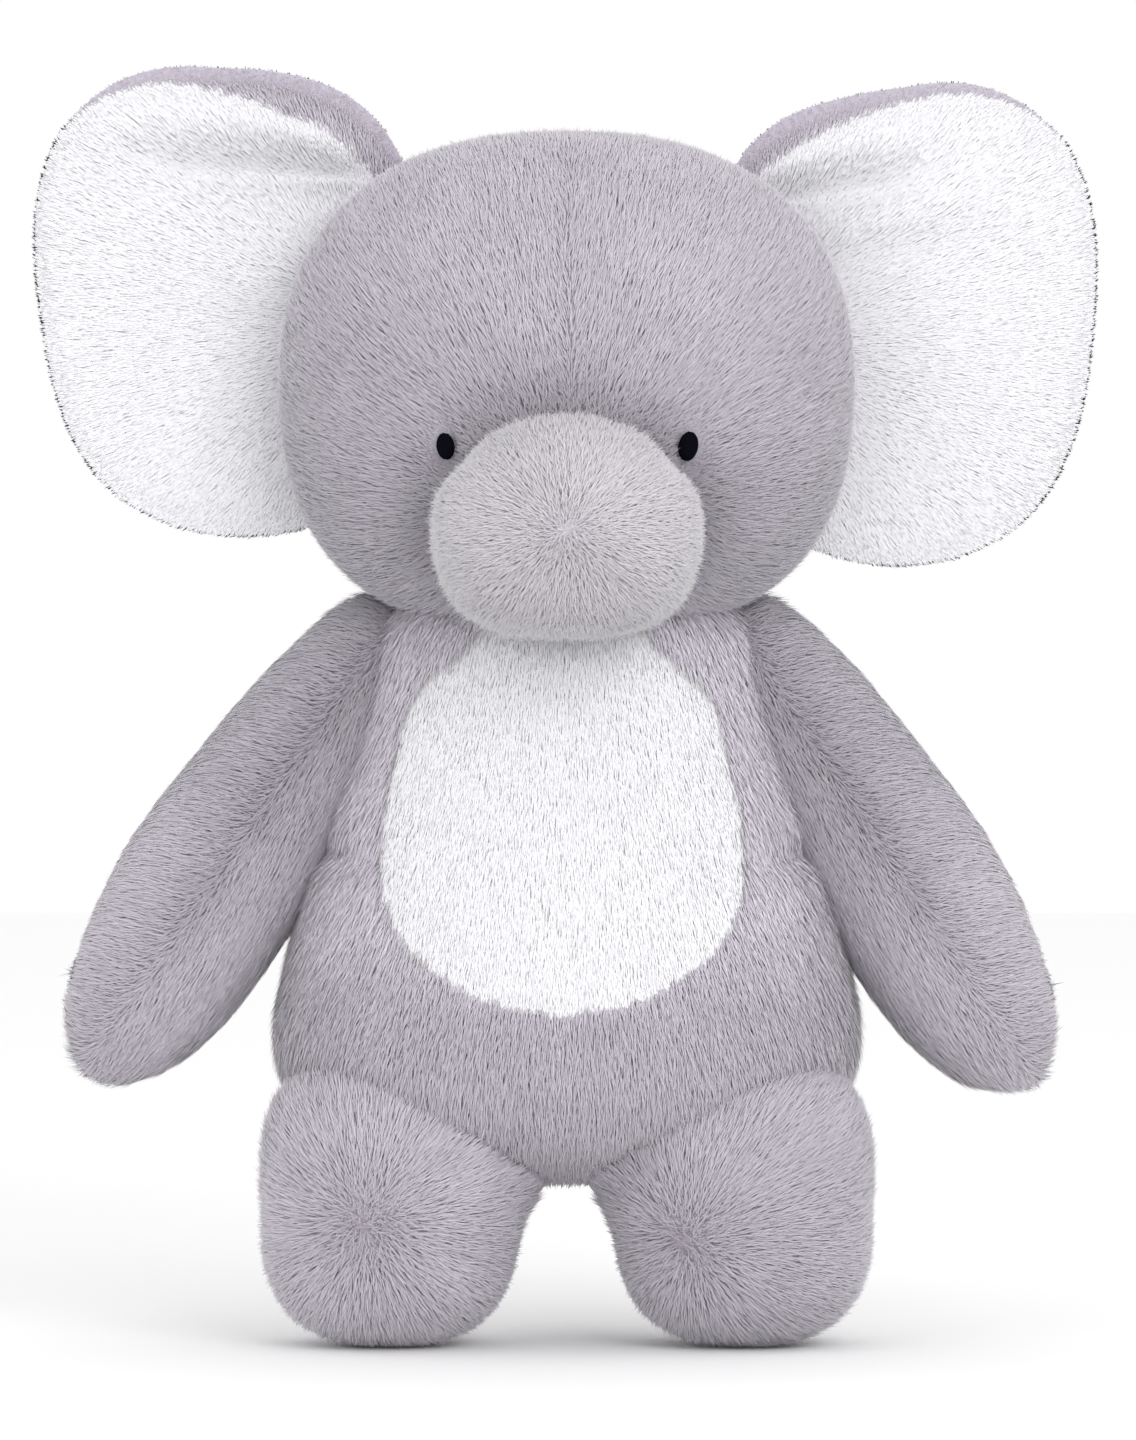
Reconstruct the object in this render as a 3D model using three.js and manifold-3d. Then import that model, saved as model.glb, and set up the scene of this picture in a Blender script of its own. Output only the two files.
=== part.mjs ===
// A stuffed toy elephant, sewn from plush fabric panels over fibre filling.
// Millimetres, +Z up, the face towards -Y. "Left" and "right" are the elephant's own sides: its
// left side is +X. The forms are drawn about the body's middle, and every finished piece is then
// set back so that the origin lies on the ground under the middle of the whole toy.

import * as THREE from 'three';
import { mergeVertices } from 'three/addons/utils/BufferGeometryUtils.js';
import { ConvexGeometry } from 'three/addons/geometries/ConvexGeometry.js';
import Module from 'manifold-3d';

const wasm = await Module();
wasm.setup();

// ---- Driving dimensions ----

const CLOTH = 4; // plush fabric: its backing and its pressed pile
const GAP = 0.3; // between two pieces that are sewn or pressed together
const ROOM = 1.4; // round a part that turns in its seat
const SETBACK = 20.5; // from the middle of the body back to the middle of the toy, trunk included

const HEAD = {
  centre: new THREE.Vector3(0, 0, 264),
  half: new THREE.Vector3(80, 62, 70),
  squareness: 2.35,
  jowl: 0.4, // how much boxier the cheeks get towards the chin
  seamY: 6, // the side seam, which holds the ears
};
const NECK = { centre: new THREE.Vector3(0, 2, 190), radius: 24 };
const TRUNK = {
  centre: new THREE.Vector3(0, -60, 225),
  half: new THREE.Vector3(37.5, 44, 31),
  squareness: 2.3,
};
const EYE = {
  x: 33,
  z: 247,
  half: new THREE.Vector3(2.6, 1.6, 3.7),
  outward: 0.2, // radians it turns to follow the curve of the face
  sunk: 0.4,
};

const EAR = {
  centre: new THREE.Vector3(91.5, 9, 287),
  half: new THREE.Vector3(53.5, 4.8, 64.5),
  squareness: 2.6,
  hem: 2, // gray edge round the white lining
  roll: 10, // how much wider that edge is where the ear is rolled forward beside the crown
  rollAt: 128, // degrees round the ear from its outer side to the middle of the roll
  rollSpread: 0.9,
  rollSharpness: 3,
  hingeTop: new THREE.Vector3(50, 8, 326),
  hingeFoot: new THREE.Vector3(78, 8, 232),
  backward: 20, // flap range in degrees
  forward: 40,
  flapStep: 20, // between the flap angles at which the ear is cleared of the head
};
// The two ears are sewn on slightly unevenly: the left one sits lower and more upright.
const EARS = [
  { name: 'ear_left', side: 1, lift: -5, lean: 1 },
  { name: 'ear_right', side: -1, lift: 0, lean: 4 },
];

// Half width of the body from seat to shoulders: height above ground, half width.
const BODY_PROFILE = [
  [38, 0], [39, 30], [43, 52], [52, 68], [65, 77], [86, 80], [108, 77],
  [130, 72], [150, 65], [168, 55.5], [183, 45], [189, 33], [190, 0],
];
const BODY_DEPTH = 0.68; // depth over width
// Outline of the white belly patch, from its foot up one side to the neck: half width, height.
const PATCH_SIDE = [[22, 92], [40, 106], [50, 127], [49, 148], [43.5, 170], [36, 184], [24, 196]];
const PATCH_FOOT = 88.5;
const PATCH_STEPS = 26;

const ARM = {
  shoulder: new THREE.Vector3(58, 0, 184),
  hang: 34.5, // degrees out from straight down
  flatness: 0.84, // depth over width
  // Along the arm from the shoulder's middle, and the half width there.
  profile: [[22, 21.5], [45, 24], [67, 25], [87, 24.2], [101, 22], [115, 16.8], [124, 9.5], [127, 0]],
  rootRadius: 18.3,
  rootSteps: 4,
  rootAngle: 92, // degrees of the round root, from its top down to where the arm widens
};

const LEG = {
  hip: new THREE.Vector3(47.5, 0, 45),
  hipHalfWidth: 34.5,
  hipRadius: 34,
  foot: new THREE.Vector3(48, -8, 30),
  footHalf: new THREE.Vector3(35, 38, 32),
  squareness: 2.5,
  seamTop: new THREE.Vector2(4, 79), // the panel seam runs from here (y, z) ...
  seamToe: new THREE.Vector2(-44, 9), // ... down to the underside of the toe
  backward: 15, // swing range in degrees
  forward: 45,
  swingStep: 15, // between the swing angles that make up its seat
};

const STITCH = { count: 8, fromZ: 78, toZ: 114, reach: 2.4, radius: 0.55 };

// Segments round and from pole to pole.
const ROUND_BIG = [20, 12];
const ROUND_SMALL = [14, 9];
const ROUND_NECK = [14, 8];
const ROUND_EYE = [10, 6];
const ROUND_EAR = [24, 6];
const ROUND_BODY = 20;
const ROUND_ARM = 14;
const LINING_STEPS = 22;
const FAR = 800; // larger than the whole toy

// ---- Materials ----

const GRAY_PLUSH = { color: 0xb0aab4, roughness: 0.95, metalness: 0 };
const PALE_PLUSH = { color: 0xc8c4ca, roughness: 0.95, metalness: 0 };
const WHITE_PLUSH = { color: 0xf0eff4, roughness: 0.95, metalness: 0 };
const FIBRE = { color: 0xf7f6f2, roughness: 1, metalness: 0 };
const BLACK_THREAD = { color: 0x121217, roughness: 0.45, metalness: 0 };
const GRAY_THREAD = { color: 0xa39da8, roughness: 0.6, metalness: 0 };

const elephant = new THREE.Group();

function place(name, solid, finish) {
  const geometry = toGeometry(solid);
  geometry.translate(0, SETBACK, 0);
  const mesh = new THREE.Mesh(geometry, new THREE.MeshStandardMaterial(finish));
  mesh.name = name;
  elephant.add(mesh);
}

// ---- Meshes and solids ----

/** One vertex at each corner, and no triangles that have shrunk to a line. */
function welded(geometry) {
  const bare = geometry.clone();
  bare.deleteAttribute('normal');
  bare.deleteAttribute('uv');
  const merged = mergeVertices(bare, 1e-3);
  const corners = Array.from(merged.index.array);
  const kept = [];
  for (let i = 0; i < corners.length; i += 3) {
    const [a, b, c] = corners.slice(i, i + 3);
    if (a !== b && b !== c && c !== a) kept.push(a, b, c);
  }
  merged.setIndex(kept);
  return merged;
}

function toSolid(geometry) {
  const shape = welded(geometry);
  return new wasm.Manifold(new wasm.Mesh({
    numProp: 3,
    vertProperties: new Float32Array(shape.attributes.position.array),
    triVerts: new Uint32Array(shape.index.array),
  }));
}

function toGeometry(solid) {
  const { vertProperties, triVerts } = solid.getMesh();
  const geometry = new THREE.BufferGeometry();
  geometry.setAttribute('position', new THREE.BufferAttribute(vertProperties, 3));
  geometry.setIndex(new THREE.BufferAttribute(triVerts, 1));
  geometry.computeVertexNormals();
  return geometry;
}

/** The same form with its surface moved out by a distance, or in where it is negative. */
function swollen(geometry, distance) {
  const shape = welded(geometry);
  shape.computeVertexNormals();
  const { position, normal } = shape.attributes;
  const point = new THREE.Vector3();
  const out = new THREE.Vector3();
  for (let i = 0; i < position.count; i++) {
    out.fromBufferAttribute(normal, i).normalize();
    point.fromBufferAttribute(position, i).addScaledVector(out, distance);
    position.setXYZ(i, point.x, point.y, point.z);
  }
  return shape;
}

/** A rounded form of the given half sizes. Squareness 2 is an ellipsoid, and more is boxier. */
function pillow(half, squareness, [round, rise], jowl = 0) {
  const geometry = new THREE.SphereGeometry(1, round, rise);
  geometry.rotateX(Math.PI / 2);
  const { position } = geometry.attributes;
  const way = new THREE.Vector3();
  for (let i = 0; i < position.count; i++) {
    way.fromBufferAttribute(position, i);
    const power = squareness + jowl * Math.max(0, -way.z);
    const sum = Math.abs(way.x) ** power + Math.abs(way.y) ** power + Math.abs(way.z) ** power;
    way.multiplyScalar(sum ** (-1 / power)).multiply(half);
    position.setXYZ(i, way.x, way.y, way.z);
  }
  return geometry;
}

/** Everything on one side of a plane: the side its normal points to. */
function beyond(normal, point) {
  const box = new THREE.BoxGeometry(FAR, FAR, FAR);
  box.translate(0, 0, FAR / 2);
  const turn = new THREE.Quaternion().setFromUnitVectors(new THREE.Vector3(0, 0, 1), normal);
  box.applyQuaternion(turn);
  box.translate(point.x, point.y, point.z);
  return toSolid(box);
}

/** The two sides of a seam plane, with the seam's gap between them: [the normal's side, the other]. */
function seam(normal, point) {
  const step = normal.clone().multiplyScalar(GAP / 2);
  return [
    beyond(normal, point.clone().add(step)),
    beyond(normal.clone().negate(), point.clone().sub(step)),
  ];
}

/** A prism whose outline lies in the XZ plane, and which runs far forward from the given place. */
function prism(outline, rearY) {
  const shape = new THREE.Shape(outline);
  const geometry = new THREE.ExtrudeGeometry(shape, { depth: FAR, bevelEnabled: false });
  geometry.rotateX(Math.PI / 2);
  geometry.translate(0, rearY, 0);
  return toSolid(geometry);
}

/** An outline moved outwards by a distance. The outline runs anticlockwise. */
function widened(outline, distance) {
  return outline.map((point, i) => {
    const before = outline[(i + outline.length - 1) % outline.length];
    const after = outline[(i + 1) % outline.length];
    const along = after.clone().sub(before).normalize();
    return point.clone().add(new THREE.Vector2(along.y, -along.x).multiplyScalar(distance));
  });
}

const X_AXIS = new THREE.Vector3(1, 0, 0);
const Y_AXIS = new THREE.Vector3(0, 1, 0);
const ORIGIN = new THREE.Vector3();
const [LEFT, RIGHT] = seam(X_AXIS, ORIGIN);

function turnedAbout(geometry, axis, point, degrees) {
  const turned = geometry.clone();
  turned.translate(-point.x, -point.y, -point.z);
  turned.applyQuaternion(new THREE.Quaternion().setFromAxisAngle(axis, THREE.MathUtils.degToRad(degrees)));
  turned.translate(point.x, point.y, point.z);
  return turned;
}

/** The same form on the other side of the middle plane, with its faces still pointing out. */
function mirrored(geometry) {
  const other = welded(geometry);
  other.scale(-1, 1, 1);
  const corners = Array.from(other.index.array);
  for (let i = 0; i < corners.length; i += 3) {
    [corners[i], corners[i + 1]] = [corners[i + 1], corners[i]];
  }
  other.setIndex(corners);
  return other;
}

const onSide = (geometry, side) => (side > 0 ? geometry : mirrored(geometry));

// ---- Neck: the filling that runs on from the body into the head ----

function neckForm() {
  const ball = new THREE.SphereGeometry(NECK.radius, ...ROUND_NECK);
  ball.rotateX(Math.PI / 2);
  ball.translate(...NECK.centre.toArray());
  return ball;
}
const neckSeat = toSolid(swollen(neckForm(), ROOM));
place('neck_filling', toSolid(neckForm()), FIBRE);

// ---- Head: four panels over filling, with the trunk and the eyes on its front ----

const headForm = pillow(HEAD.half, HEAD.squareness, ROUND_BIG, HEAD.jowl);
headForm.translate(...HEAD.centre.toArray());
const trunkForm = pillow(TRUNK.half, TRUNK.squareness, ROUND_SMALL);
trunkForm.translate(...TRUNK.centre.toArray());

/** How far forward the head's face is at a place seen from the front. */
function faceY(x, z) {
  const up = (z - HEAD.centre.z) / HEAD.half.z;
  const across = x / HEAD.half.x;
  const power = HEAD.squareness + HEAD.jowl * Math.max(0, -up);
  const left = 1 - Math.abs(across) ** power - Math.abs(up) ** power;
  return HEAD.centre.y - HEAD.half.y * left ** (1 / power);
}

function eyeForm(side) {
  const pad = pillow(EYE.half, 2, ROUND_EYE);
  pad.rotateZ(side * EYE.outward);
  pad.translate(side * EYE.x, faceY(EYE.x, EYE.z) + EYE.sunk, EYE.z);
  return pad;
}

function addHead() {
  const inside = swollen(headForm, -CLOTH);
  const trunkInside = toSolid(swollen(trunkForm, -CLOTH));
  const trunkHole = toSolid(swollen(trunkForm, -CLOTH + GAP));
  let cover = toSolid(headForm).subtract(toSolid(inside)).subtract(neckSeat).subtract(trunkHole);
  for (const [name, side] of [['eye_left', 1], ['eye_right', -1]]) {
    place(name, toSolid(eyeForm(side)), BLACK_THREAD);
    cover = cover.subtract(toSolid(swollen(eyeForm(side), GAP)));
  }
  const [back, front] = seam(Y_AXIS, new THREE.Vector3(0, HEAD.seamY, 0));
  place('head_front_left', cover.intersect(front).intersect(LEFT), GRAY_PLUSH);
  place('head_front_right', cover.intersect(front).intersect(RIGHT), GRAY_PLUSH);
  place('head_back_left', cover.intersect(back).intersect(LEFT), GRAY_PLUSH);
  place('head_back_right', cover.intersect(back).intersect(RIGHT), GRAY_PLUSH);
  place('head_filling', toSolid(swollen(headForm, -CLOTH - GAP)).subtract(neckSeat), FIBRE);

  const headRoom = toSolid(swollen(headForm, GAP));
  const trunkCover = toSolid(trunkForm).subtract(trunkInside).subtract(headRoom);
  place('trunk_left', trunkCover.intersect(LEFT), PALE_PLUSH);
  place('trunk_right', trunkCover.intersect(RIGHT), PALE_PLUSH);
  const trunkFilling = toSolid(swollen(trunkForm, -CLOTH - GAP));
  place('trunk_filling', trunkFilling.subtract(toSolid(inside)), FIBRE);
}

// ---- Ears: a gray back that wraps round the edge of a white lining ----

/** The lining's outline about the ear's middle, with the ear on the left side. */
function liningOutline() {
  const points = [];
  const rollAt = THREE.MathUtils.degToRad(EAR.rollAt);
  for (let i = 0; i < LINING_STEPS; i++) {
    const angle = (i / LINING_STEPS) * 2 * Math.PI;
    const power = EAR.squareness;
    const x = Math.cos(angle);
    const z = Math.sin(angle);
    const radius = (Math.abs(x) ** power + Math.abs(z) ** power) ** (-1 / power);
    const nearRoll = Math.max(0, Math.cos((angle - rollAt) * EAR.rollSpread)) ** EAR.rollSharpness;
    const edge = EAR.hem + EAR.roll * nearRoll;
    points.push(new THREE.Vector2(x * radius * (EAR.half.x - edge), z * radius * (EAR.half.z - edge)));
  }
  return points;
}

function addEar({ name, side, lift, lean }) {
  const settle = (geometry) => {
    const leaned = turnedAbout(geometry, Y_AXIS, ORIGIN, lean);
    leaned.translate(EAR.centre.x, EAR.centre.y, EAR.centre.z + lift);
    return onSide(leaned, side);
  };
  const whole = toSolid(settle(pillow(EAR.half, EAR.squareness, ROUND_EAR)));
  const outline = liningOutline();
  const lining = toGeometry(prism(outline, -GAP / 2));
  const pocket = toGeometry(prism(widened(outline, GAP), GAP / 2));

  // The head's sides, turned the opposite way to the ear through its whole flap.
  const top = EAR.hingeTop.clone().setX(side * EAR.hingeTop.x);
  const foot = EAR.hingeFoot.clone().setX(side * EAR.hingeFoot.x);
  const hinge = top.clone().sub(foot).normalize();
  let clear = toSolid(swollen(headForm, ROOM));
  for (let flap = -EAR.backward; flap <= EAR.forward; flap += EAR.flapStep) {
    clear = clear.add(toSolid(turnedAbout(swollen(headForm, ROOM), hinge, foot, flap * side)));
  }
  place(`${name}_lining`, whole.intersect(toSolid(settle(lining))).subtract(clear), WHITE_PLUSH);
  place(`${name}_back`, whole.subtract(toSolid(settle(pocket))).subtract(clear), GRAY_PLUSH);
}

// ---- Body: four panels and the belly patch over filling ----

function bodyForm() {
  const profile = BODY_PROFILE.map(([height, half]) => new THREE.Vector2(half, height));
  const geometry = new THREE.LatheGeometry(profile, ROUND_BODY);
  geometry.rotateX(Math.PI / 2);
  geometry.scale(1, BODY_DEPTH, 1);
  return geometry;
}

function patchOutline() {
  const foot = new THREE.Vector2(0, PATCH_FOOT);
  const rising = PATCH_SIDE.map(([x, z]) => new THREE.Vector2(x, z));
  const falling = PATCH_SIDE.map(([x, z]) => new THREE.Vector2(-x, z)).reverse();
  const curve = new THREE.SplineCurve([foot, ...rising, ...falling, foot]);
  return curve.getPoints(PATCH_STEPS).slice(0, -1);
}

function armForm(side) {
  const arc = [];
  for (let i = 0; i <= ARM.rootSteps; i++) {
    const angle = THREE.MathUtils.degToRad((i * ARM.rootAngle) / ARM.rootSteps);
    arc.push(new THREE.Vector2(ARM.rootRadius * Math.sin(angle), ARM.rootRadius * Math.cos(angle)));
  }
  const rest = ARM.profile.map(([along, half]) => new THREE.Vector2(half, -along));
  const geometry = new THREE.LatheGeometry([...arc, ...rest].reverse(), ROUND_ARM);
  geometry.rotateX(Math.PI / 2);
  geometry.scale(1, ARM.flatness, 1);
  const hung = turnedAbout(geometry, Y_AXIS, ORIGIN, -ARM.hang);
  hung.translate(...ARM.shoulder.toArray());
  return onSide(hung, side);
}

function formPoints(geometry, lowest = -Infinity) {
  const { position } = geometry.attributes;
  const points = [];
  for (let i = 0; i < position.count; i++) {
    const point = new THREE.Vector3().fromBufferAttribute(position, i);
    point.z = Math.max(point.z, lowest);
    points.push(point);
  }
  return points;
}

/** The leg: a round hip, and a foot that is flat where it stands. */
function legForm(side) {
  const hip = pillow(
    new THREE.Vector3(LEG.hipRadius, LEG.hipHalfWidth, LEG.hipRadius), 2, ROUND_SMALL);
  hip.rotateZ(Math.PI / 2);
  hip.translate(...LEG.hip.toArray());
  const foot = pillow(LEG.footHalf, LEG.squareness, ROUND_SMALL);
  foot.translate(...LEG.foot.toArray());
  return onSide(new ConvexGeometry([...formPoints(hip), ...formPoints(foot, 0)]), side);
}

/** All the space that a leg passes through in its swing. */
function legSweep(side) {
  const leg = swollen(legForm(side), ROOM);
  const hip = LEG.hip.clone().setX(side * LEG.hip.x);
  const points = [];
  for (let swing = -LEG.backward; swing <= LEG.forward; swing += LEG.swingStep) {
    points.push(...formPoints(turnedAbout(leg, X_AXIS, hip, -swing)));
  }
  return toSolid(new ConvexGeometry(points));
}

function addBody() {
  const seats = [1, -1].map((side) => legSweep(side).add(toSolid(swollen(armForm(side), ROOM))));
  const clear = seats[0].add(seats[1]).add(neckSeat);
  const form = bodyForm();
  const cover = toSolid(form).subtract(toSolid(swollen(form, -CLOTH))).subtract(clear);
  const [back, front] = seam(Y_AXIS, ORIGIN);
  const outline = patchOutline();
  const patch = prism(outline, 0);
  const patchHole = prism(widened(outline, GAP), 0);
  place('belly_patch', cover.intersect(front).intersect(patch), WHITE_PLUSH);
  place('body_front_left', cover.intersect(front).subtract(patchHole).intersect(LEFT), GRAY_PLUSH);
  place('body_front_right', cover.intersect(front).subtract(patchHole).intersect(RIGHT), GRAY_PLUSH);
  place('body_back_left', cover.intersect(back).intersect(LEFT), GRAY_PLUSH);
  place('body_back_right', cover.intersect(back).intersect(RIGHT), GRAY_PLUSH);
  place('body_filling', toSolid(swollen(form, -CLOTH - GAP)).subtract(clear), FIBRE);
}

// ---- Closing seam: the ladder of thread over the opening that the filling went in by ----

function addClosingStitches() {
  const heights = BODY_PROFILE.map(([height]) => height);
  const backY = (z) => {
    const i = heights.findIndex((height) => height > z);
    const [[z0, half0], [z1, half1]] = [BODY_PROFILE[i - 1], BODY_PROFILE[i]];
    return BODY_DEPTH * (half0 + ((half1 - half0) * (z - z0)) / (z1 - z0));
  };
  const points = [];
  for (let i = 0; i <= STITCH.count; i++) {
    const z = STITCH.fromZ + ((STITCH.toZ - STITCH.fromZ) * i) / STITCH.count;
    const x = i % 2 ? STITCH.reach : -STITCH.reach;
    points.push(new THREE.Vector3(x, backY(z) + STITCH.radius + GAP * 2, z));
  }
  const thread = new THREE.Shape().absarc(0, 0, STITCH.radius, 0, 2 * Math.PI);
  const geometry = new THREE.ExtrudeGeometry(thread, {
    extrudePath: new THREE.CatmullRomCurve3(points),
    steps: STITCH.count * 3,
    curveSegments: 2,
    bevelEnabled: false,
  });
  place('closing_stitches', toSolid(geometry), GRAY_THREAD);
}

// ---- Limbs: a front and a back panel over filling ----

function addLimb(name, form, normal, point) {
  const cover = toSolid(form).subtract(toSolid(swollen(form, -CLOTH)));
  const [back, front] = seam(normal, point);
  place(`${name}_front`, cover.intersect(front), GRAY_PLUSH);
  place(`${name}_back`, cover.intersect(back), GRAY_PLUSH);
  place(`${name}_filling`, toSolid(swollen(form, -CLOTH - GAP)), FIBRE);
}

addHead();
EARS.forEach(addEar);
addBody();
addClosingStitches();
const legSeam = LEG.seamToe.clone().sub(LEG.seamTop).normalize();
const legSeamNormal = new THREE.Vector3(0, -legSeam.y, legSeam.x);
const legSeamPoint = new THREE.Vector3(0, LEG.seamTop.x, LEG.seamTop.y);
for (const [suffix, side] of [['left', 1], ['right', -1]]) {
  addLimb(`arm_${suffix}`, armForm(side), Y_AXIS, ORIGIN);
  addLimb(`leg_${suffix}`, legForm(side), legSeamNormal, legSeamPoint);
}

export default elephant;
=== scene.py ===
# %% [markdown]
# # A plush elephant
# The real toy is sewn from a knitted cloth with a long soft pile, and stuffed with fibre. The
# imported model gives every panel's size and place. Here each panel gets the look of its cloth: a
# rounded skin where the cloth's backing lies, and the pile that grows from it, hair by hair.

import bmesh
import bpy
import numpy as np
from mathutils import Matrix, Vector


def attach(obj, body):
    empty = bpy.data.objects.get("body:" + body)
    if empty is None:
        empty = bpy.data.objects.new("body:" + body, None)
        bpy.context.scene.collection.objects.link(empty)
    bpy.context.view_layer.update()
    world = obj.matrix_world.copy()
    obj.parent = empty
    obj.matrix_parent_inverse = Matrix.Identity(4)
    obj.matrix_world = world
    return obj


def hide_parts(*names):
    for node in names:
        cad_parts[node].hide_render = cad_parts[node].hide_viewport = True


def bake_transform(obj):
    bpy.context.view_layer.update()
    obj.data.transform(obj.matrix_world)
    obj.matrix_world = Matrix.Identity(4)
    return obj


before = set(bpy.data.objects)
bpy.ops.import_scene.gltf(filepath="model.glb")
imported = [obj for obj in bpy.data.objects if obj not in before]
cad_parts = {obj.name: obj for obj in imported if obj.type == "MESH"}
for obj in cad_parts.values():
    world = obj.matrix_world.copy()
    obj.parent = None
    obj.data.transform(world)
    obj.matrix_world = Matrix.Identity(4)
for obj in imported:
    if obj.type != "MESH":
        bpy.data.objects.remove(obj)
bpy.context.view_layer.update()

# %% [markdown]
# ## The camera and the studio
# A long lens far away keeps the round body free of distortion. The camera looks at the face
# from the front and a touch above. A pale floor, a white surround and two large soft lamps
# give the even light of a product picture, with the brighter side on the toy's own left.

# %% Camera
MM = 0.001  # sizes of the toy are given in millimetres, and sizes of the scene in metres
SETBACK = 20.5  # the middle of the body lies this far behind the origin, in millimetres
FRONT_DISTANCE = 2.4
FRAME_HEIGHT = 0.3974
SENSOR = 36.0
AIM = Vector((0.0003, 0.0265, 0.1712))
CAMERA_ELEVATION = np.radians(1.0)

scene = bpy.context.scene
camera_data = bpy.data.cameras.new("front camera")
camera_data.sensor_width = SENSOR
camera_data.lens = SENSOR * FRONT_DISTANCE / FRAME_HEIGHT
camera_data.clip_start = 0.05
camera = bpy.data.objects.new("front camera", camera_data)
scene.collection.objects.link(camera)
away = Vector((0, -np.cos(CAMERA_ELEVATION), np.sin(CAMERA_ELEVATION)))
camera.location = AIM + away * FRONT_DISTANCE
camera.rotation_euler = (-away).to_track_quat("-Z", "Y").to_euler()
scene.camera = camera
print("camera lens", round(camera_data.lens, 1), "mm")

# %% Light, surround and floor
def soft_lamp(name, place, aim, size, watts):
    """A square area lamp that faces a point."""
    data = bpy.data.lights.new(name, "AREA")
    data.size = size
    data.energy = watts
    lamp = bpy.data.objects.new(name, data)
    lamp.location = place
    lamp.rotation_euler = (Vector(aim) - Vector(place)).to_track_quat("-Z", "Y").to_euler()
    scene.collection.objects.link(lamp)


soft_lamp("key lamp", (0.9, -2.0, 1.0), (0, 0, 0.18), 1.2, 22)
soft_lamp("fill lamp", (-1.3, -2.0, 0.35), (0, 0, 0.15), 1.4, 12)

world = bpy.data.worlds.new("white surround")
world.use_nodes = True
world.node_tree.nodes["Background"].inputs["Color"].default_value = (1, 1, 1, 1)
world.node_tree.nodes["Background"].inputs["Strength"].default_value = 1.0
scene.world = world
scene.view_settings.view_transform = "Standard"


def new_material(name):
    """A material, its node tree and its main shader."""
    material = bpy.data.materials.new(name)
    material.use_nodes = True
    return material, material.node_tree, material.node_tree.nodes["Principled BSDF"]


FLOOR_HALF = 3.0
floor_mesh = bpy.data.meshes.new("floor")
corners = [(x, y, 0) for x, y in ((-1, -1), (1, -1), (1, 1), (-1, 1))]
floor_mesh.from_pydata([(x * FLOOR_HALF, y * FLOOR_HALF, z) for x, y, z in corners], [], [(0, 1, 2, 3)])
floor = bpy.data.objects.new("floor", floor_mesh)
scene.collection.objects.link(floor)
floor_paint, _, floor_look = new_material("pale floor")
floor_look.inputs["Base Color"].default_value = (0.95, 0.95, 0.95, 1)
floor_look.inputs["Roughness"].default_value = 0.9
floor_mesh.materials.append(floor_paint)
print("studio ready")

# %% [markdown]
# ## Colour of the pile
# Each gray and pale gray hair is darker at its root than at its tip: painted shade, where its
# neighbours shade it. A white hair is lighter at its root: painted light, for the light that white
# hairs pass to each other. Hairs differ a little from each other, and broad soft patches differ
# too. A further attribute, a fixed factor that each point of a skin carries, is painted light and
# shade laid on by place: darker low on the head, round the foot of the trunk, on the cheeks, under
# the trunk, high on the arms, along the partings and on the left leg; lighter on the gray of the
# upper body round the belly and on the right leg. One node group does this for the gray, the pale
# gray and the white cloth, each with its own two colours.

# %% Node group for the pile's colour
def joined(tree, out_socket, in_socket):
    tree.links.new(out_socket, in_socket)


def math_node(tree, operation, first, second):
    node = tree.nodes.new("ShaderNodeMath")
    node.operation = operation
    for socket, value in zip(node.inputs, (first, second)):
        if isinstance(value, bpy.types.NodeSocket):
            joined(tree, value, socket)
        else:
            socket.default_value = value
    return node.outputs[0]


def mixed_colour(tree, share, first, second, blend="MIX"):
    node = tree.nodes.new("ShaderNodeMix")
    node.data_type = "RGBA"
    node.blend_type = blend
    for socket, value in zip((node.inputs[0], node.inputs[6], node.inputs[7]), (share, first, second)):
        if isinstance(value, bpy.types.NodeSocket):
            joined(tree, value, socket)
        else:
            socket.default_value = value
    return node.outputs[2]


tone_group = bpy.data.node_groups.new("pile tone", "ShaderNodeTree")
for name, kind, start in (
    ("Root", "NodeSocketColor", (0.3, 0.3, 0.3, 1)),
    ("Tip", "NodeSocketColor", (0.6, 0.6, 0.6, 1)),
    ("Hair Difference", "NodeSocketFloat", 0.2),
    ("Patch Difference", "NodeSocketFloat", 0.1),
):
    socket = tone_group.interface.new_socket(name, in_out="INPUT", socket_type=kind)
    socket.default_value = start
tone_group.interface.new_socket("Colour", in_out="OUTPUT", socket_type="NodeSocketColor")
tone_in = tone_group.nodes.new("NodeGroupInput")
tone_out = tone_group.nodes.new("NodeGroupOutput")


def read_attribute(tree, name):
    node = tree.nodes.new("ShaderNodeAttribute")
    node.attribute_name = name
    return node.outputs["Fac"]


def as_difference(share, difference):
    """A share from 0 to 1 as a difference about 0, as large as one of the group's inputs says."""
    about_zero = math_node(tone_group, "SUBTRACT", share, 0.5)
    return math_node(tone_group, "MULTIPLY", about_zero, tone_in.outputs[difference])


PATCH_SCALE = 55  # patches about 18 mm across
along = read_attribute(tone_group, "along")
hair = read_attribute(tone_group, "hair")
place_node = tone_group.nodes.new("ShaderNodeTexCoord")
patches = tone_group.nodes.new("ShaderNodeTexNoise")
patches.inputs["Scale"].default_value = PATCH_SCALE
patches.inputs["Detail"].default_value = 3
joined(tone_group, place_node.outputs["Object"], patches.inputs["Vector"])
# From root to tip: painted shade at the roots of gray hair, painted light at the roots of white hair.
grown = mixed_colour(tone_group, along, tone_in.outputs["Root"], tone_in.outputs["Tip"])
hair_part = as_difference(hair, "Hair Difference")
patch_part = as_difference(patches.outputs["Fac"], "Patch Difference")
shade = math_node(tone_group, "ADD", math_node(tone_group, "ADD", hair_part, patch_part), 1.0)
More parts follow.
